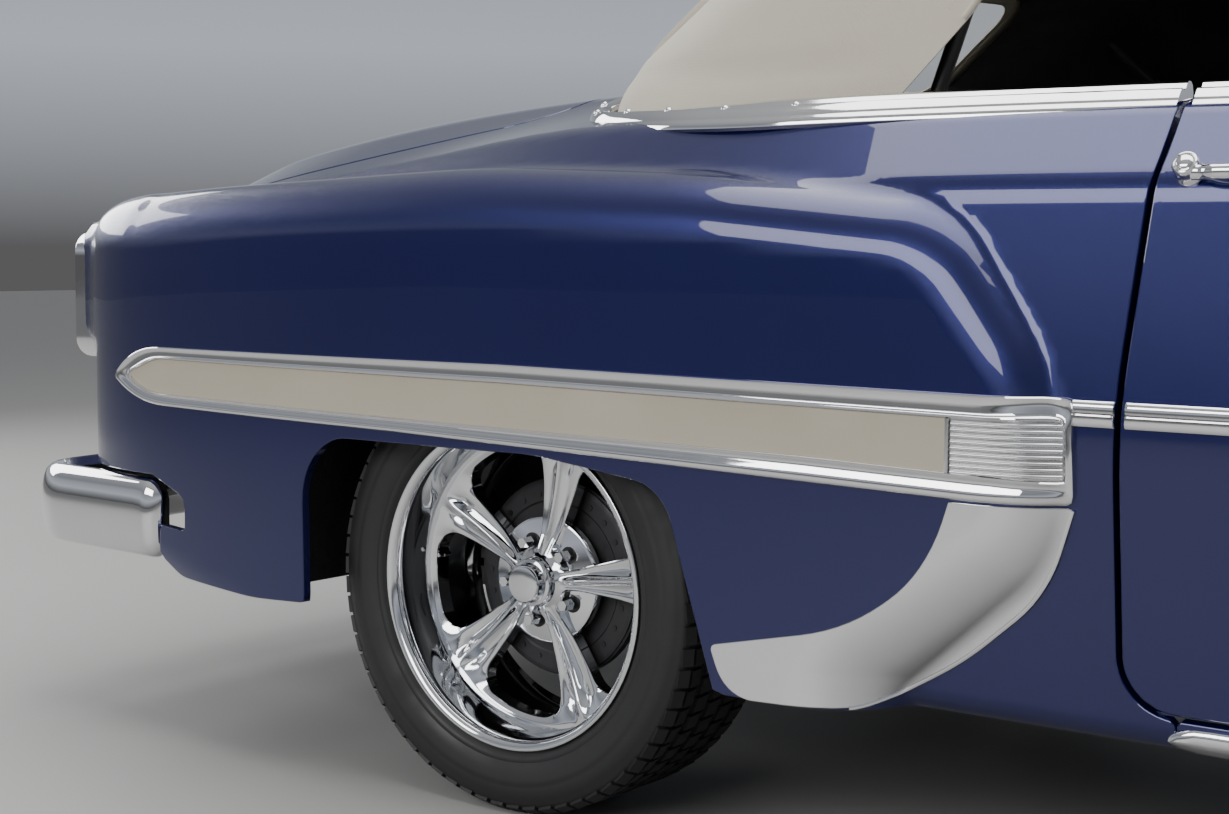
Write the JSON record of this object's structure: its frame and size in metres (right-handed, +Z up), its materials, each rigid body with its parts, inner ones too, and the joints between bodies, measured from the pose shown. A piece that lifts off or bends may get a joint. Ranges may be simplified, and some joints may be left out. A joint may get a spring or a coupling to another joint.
{
  "type": "1950s convertible car",
  "caption": "Two-door convertible car with a raised fabric top, chrome side spears, sculpted five-spoke wheels and opening doors, hood and trunk lid.",
  "frame": {"origin": "on the ground, at the middle of the car's overall length and width", "axes": "+X forward, +Y to the car's left, +Z up"},
  "size_m": [4.966, 1.9, 1.5525],
  "materials": {
    "body_paint": "gloss",
    "chrome": "polished",
    "polished_alloy": "polished",
    "black_metal": "satin",
    "drum_iron": "matt",
    "steel": "satin",
    "engine_paint": "gloss",
    "insert_paint": "gloss",
    "canvas": "woven",
    "clear_glass": "polished",
    "red_lens": "polished",
    "seat_trim": "satin",
    "wheel_plastic": "gloss",
    "tyre": "matt"
  },
  "bodies": {
    "body": {"frame": "black_metal", "floor_pan": "black_metal", "rockers": "body_paint", "cowl": "body_paint", "quarter_left": "body_paint", "quarter_right": "body_paint", "rear_deck": "body_paint", "front_fender_left": "body_paint", "front_fender_right": "body_paint", "front_apron": "body_paint", "soft_top": "canvas", "rear_window": "clear_glass", "top_frame": "black_metal", "windscreen_frame": "chrome", "windscreen_glass": "clear_glass", "side_mouldings": "chrome", "spear_inserts": "insert_paint", "stone_guards": "chrome", "belt_moulding": "chrome", "grille": "chrome", "lamp_bezels": "chrome", "head_lenses": "clear_glass", "tail_lenses": "red_lens", "front_bumper": "chrome", "rear_bumper": "chrome", "front_seat": "seat_trim", "rear_seat": "seat_trim", "dashboard": "body_paint", "steering_column": "wheel_plastic", "engine": "engine_paint", "radiator": "black_metal", "exhaust": "steel", "rear_axle": "drum_iron", "rear_springs": "steel", "front_suspension": "drum_iron"},
    "door_left": {"door_left": "body_paint", "door_left_trim": "chrome"},
    "door_right": {"door_right": "body_paint", "door_right_trim": "chrome"},
    "hood": {"hood": "body_paint"},
    "trunk_lid": {"trunk_lid": "body_paint"},
    "knuckle_left": {"knuckle_left": "drum_iron"},
    "knuckle_right": {"knuckle_right": "drum_iron"},
    "steering_wheel": {"steering_wheel": "wheel_plastic"},
    "wheel_front_left": {"wheel_front_left_rim": "polished_alloy", "wheel_front_left_tyre": "tyre", "wheel_front_left_drum": "drum_iron"},
    "wheel_front_right": {"wheel_front_right_rim": "polished_alloy", "wheel_front_right_tyre": "tyre", "wheel_front_right_drum": "drum_iron"},
    "wheel_rear_left": {"wheel_rear_left_rim": "polished_alloy", "wheel_rear_left_tyre": "tyre", "wheel_rear_left_drum": "drum_iron"},
    "wheel_rear_right": {"wheel_rear_right_rim": "polished_alloy", "wheel_rear_right_tyre": "tyre", "wheel_rear_right_drum": "drum_iron"}
  },
  "joints": [
    {"name": "left_door_hinge", "type": "hinge", "parent": "body", "child": "door_left", "pos_m": [0.9, 0.905, 0.65], "axis": [0, 0, -1], "range_deg": [0, 62]},
    {"name": "right_door_hinge", "type": "hinge", "parent": "body", "child": "door_right", "pos_m": [0.9, -0.905, 0.65], "axis": [0, 0, 1], "range_deg": [0, 62]},
    {"name": "hood_hinge", "type": "hinge", "parent": "body", "child": "hood", "pos_m": [1.009, 0, 1.0475], "axis": [0, -1, 0], "range_deg": [0, 48]},
    {"name": "trunk_hinge", "type": "hinge", "parent": "body", "child": "trunk_lid", "pos_m": [-1.475, 0, 1.091], "axis": [0, 1, 0], "range_deg": [0, 60]},
    {"name": "steering_turn", "type": "hinge", "parent": "body", "child": "steering_wheel", "pos_m": [0.418, 0.37, 0.921], "axis": [-0.8919, 0, 0.4522], "range_deg": [-421, 421]},
    {"name": "knuckle_left_turn", "type": "hinge", "parent": "body", "child": "knuckle_left", "pos_m": [1.663, 0.66, 0.335], "axis": [0, 0, 1], "range_deg": [-27, 27]},
    {"name": "knuckle_right_turn", "type": "hinge", "parent": "body", "child": "knuckle_right", "pos_m": [1.663, -0.66, 0.335], "axis": [0, 0, 1], "range_deg": [-27, 27]},
    {"name": "wheel_front_left_spin", "type": "hinge", "parent": "knuckle_left", "child": "wheel_front_left", "pos_m": [1.663, 0.72, 0.335], "axis": [0, 1, 0], "continuous": true},
    {"name": "wheel_front_right_spin", "type": "hinge", "parent": "knuckle_right", "child": "wheel_front_right", "pos_m": [1.663, -0.72, 0.335], "axis": [0, 1, 0], "continuous": true},
    {"name": "wheel_rear_left_spin", "type": "hinge", "parent": "body", "child": "wheel_rear_left", "pos_m": [-1.258, 0.747, 0.335], "axis": [0, 1, 0], "continuous": true},
    {"name": "wheel_rear_right_spin", "type": "hinge", "parent": "body", "child": "wheel_rear_right", "pos_m": [-1.258, -0.747, 0.335], "axis": [0, 1, 0], "continuous": true}
  ],
  "couplings": [
    {"joint": "knuckle_right_turn", "follows": "knuckle_left_turn", "ratio": 1},
    {"joint": "steering_turn", "follows": "knuckle_left_turn", "ratio": 15.556}
  ]
}
